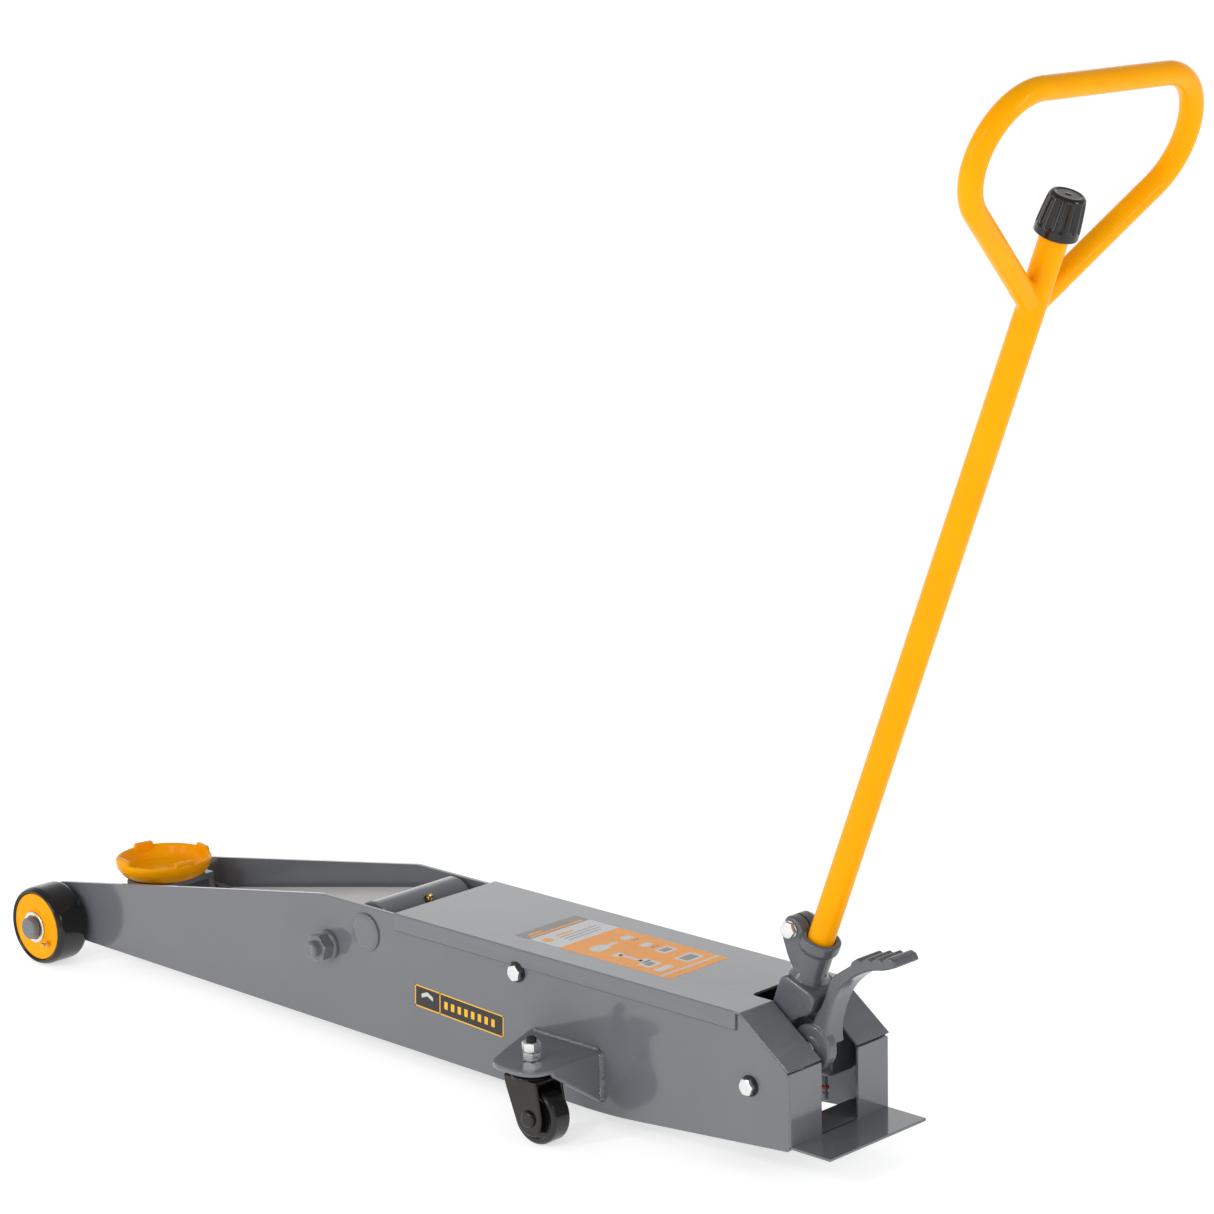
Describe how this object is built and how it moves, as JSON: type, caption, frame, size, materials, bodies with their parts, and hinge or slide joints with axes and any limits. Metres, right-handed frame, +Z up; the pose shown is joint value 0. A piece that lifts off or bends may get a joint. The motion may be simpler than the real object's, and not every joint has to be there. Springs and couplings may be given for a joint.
{
  "type": "trolley jack",
  "caption": "Long-chassis hydraulic trolley jack with a levelled saddle on a lift arm, rear casters, foot pedal and a pump handle with a loop grip.",
  "frame": {"origin": "under the middle of the whole jack, on the ground the wheels stand on", "axes": "+X from the saddle end towards the handle, +Y across the jack to its right, +Z up"},
  "size_m": [1.6245, 0.376, 1.1871],
  "materials": {
    "grey_paint": "gloss blue-grey enamel",
    "orange_paint": "gloss yellow-orange enamel",
    "black_paint": "gloss black enamel",
    "black_nylon": "glossy black moulded nylon",
    "zinc_plate": "bright zinc plate",
    "bare_steel": "machined and oiled steel",
    "brass": "turned brass",
    "red_plastic": "red moulded cap"
  },
  "bodies": {
    "chassis": {"side_plate_left": "grey_paint", "side_plate_right": "grey_paint", "top_cover": "grey_paint", "rear_plate": "grey_paint", "cross_bar": "bare_steel", "front_screw_left": "zinc_plate", "front_screw_right": "zinc_plate", "rear_screw_left": "zinc_plate", "rear_screw_right": "zinc_plate", "lift_pivot_shaft": "grey_paint", "tie_stud": "grey_paint", "tie_nut_left": "grey_paint", "tie_nut_right": "grey_paint", "front_axle": "grey_paint", "axle_spacer": "grey_paint", "wheel_washer_left": "zinc_plate", "wheel_washer_right": "zinc_plate", "pump_block": "grey_paint", "ram_cylinder": "grey_paint", "drain_plug": "red_plastic", "caster_bracket_left": "grey_paint", "caster_bracket_right": "grey_paint", "caster_stem_left": "bare_steel", "caster_stem_right": "bare_steel", "caster_nut_left": "zinc_plate", "caster_nut_right": "zinc_plate", "caster_lock_nut_left": "zinc_plate", "caster_lock_nut_right": "zinc_plate", "socket_pin": "bare_steel"},
    "wheel_left": {"front_wheel_left": "black_nylon", "wheel_disc_left": "orange_paint", "wheel_nipple_left": "brass"},
    "wheel_right": {"front_wheel_right": "black_nylon", "wheel_disc_right": "orange_paint", "wheel_nipple_right": "brass"},
    "fork_left": {"caster_fork_left": "black_paint", "caster_axle_left": "black_paint"},
    "fork_right": {"caster_fork_right": "black_paint", "caster_axle_right": "black_paint"},
    "caster_roller_left": {"caster_wheel_left": "black_nylon"},
    "caster_roller_right": {"caster_wheel_right": "black_nylon"},
    "arm": {"lift_arm": "grey_paint", "arm_nipple": "brass", "arm_end_pin": "bare_steel", "ram_pin": "bare_steel"},
    "cradle": {"saddle_cradle": "grey_paint", "levelling_pin": "bare_steel"},
    "saddle_head": {"saddle": "orange_paint"},
    "link": {"levelling_rod": "bare_steel"},
    "piston": {"ram_piston": "bare_steel"},
    "plunger": {"pump_plunger": "bare_steel"},
    "handle": {"handle_socket": "grey_paint", "clamp_bolt": "zinc_plate", "handle_tube": "orange_paint", "grip_loop": "orange_paint", "pedal_pin": "bare_steel"},
    "release": {"release_knob": "black_nylon", "release_rod": "bare_steel"},
    "pedal": {"foot_pedal": "grey_paint"}
  },
  "joints": [
    {"name": "wheel_left_roll", "type": "hinge", "parent": "chassis", "child": "wheel_left", "pos_m": [-0.76419, -0.108, 0.05], "axis": [0, 1, 0], "continuous": true},
    {"name": "wheel_right_roll", "type": "hinge", "parent": "chassis", "child": "wheel_right", "pos_m": [-0.76419, 0.108, 0.05], "axis": [0, 1, 0], "continuous": true},
    {"name": "caster_left_swivel", "type": "hinge", "parent": "chassis", "child": "fork_left", "pos_m": [0.14681, -0.15, 0.08], "axis": [0, 0, 1], "continuous": true},
    {"name": "caster_left_roll", "type": "hinge", "parent": "fork_left", "child": "caster_roller_left", "pos_m": [0.16081, -0.15, 0.032], "axis": [0, 1, 0], "continuous": true},
    {"name": "caster_right_swivel", "type": "hinge", "parent": "chassis", "child": "fork_right", "pos_m": [0.14681, 0.15, 0.08], "axis": [0, 0, 1], "continuous": true},
    {"name": "caster_right_roll", "type": "hinge", "parent": "fork_right", "child": "caster_roller_right", "pos_m": [0.16081, 0.15, 0.032], "axis": [0, 1, 0], "continuous": true},
    {"name": "arm_lift", "type": "hinge", "parent": "chassis", "child": "arm", "pos_m": [-0.19519, 0, 0.149], "axis": [0, 1, 0], "range_deg": [0, 60]},
    {"name": "saddle_level", "type": "hinge", "parent": "arm", "child": "cradle", "pos_m": [-0.63219, 0, 0.07], "axis": [0, 1, 0], "range_deg": [-60, 0]},
    {"name": "saddle_turn", "type": "hinge", "parent": "cradle", "child": "saddle_head", "pos_m": [-0.66419, 0, 0.109], "axis": [0, 0, 1], "continuous": true},
    {"name": "link_swing", "type": "hinge", "parent": "chassis", "child": "link", "pos_m": [-0.26219, 0, 0.12], "axis": [0, 1, 0], "range_deg": [0, 60]},
    {"name": "ram_stroke", "type": "slide", "parent": "chassis", "child": "piston", "axis": [-1, 0, 0], "range_m": [0, 0.0801]},
    {"name": "handle_pump", "type": "hinge", "parent": "chassis", "child": "handle", "pos_m": [0.38761, 0, 0.128], "axis": [0, 1, 0], "range_deg": [-10, 30]},
    {"name": "pump_stroke", "type": "slide", "parent": "chassis", "child": "plunger", "axis": [-1, 0, 0], "range_m": [-0.003, 0.009]},
    {"name": "release_turn", "type": "hinge", "parent": "handle", "child": "release", "pos_m": [0.38761, 0, 0.128], "axis": [0.3649, 0, 0.9311], "range_deg": [0, 180]},
    {"name": "pedal_press", "type": "hinge", "parent": "handle", "child": "pedal", "pos_m": [0.43981, 0, 0.139], "axis": [0, 1, 0], "range_deg": [0, 12], "stiffness_Nm_per_rad": 20, "springref_deg": -17.19}
  ],
  "couplings": [
    {"joint": "saddle_level", "follows": "arm_lift", "ratio": -1},
    {"joint": "link_swing", "follows": "arm_lift", "ratio": 1},
    {"joint": "ram_stroke", "follows": "arm_lift", "m_per_rad": 0.0764},
    {"joint": "pump_stroke", "follows": "handle_pump", "m_per_rad": 0.0167}
  ]
}
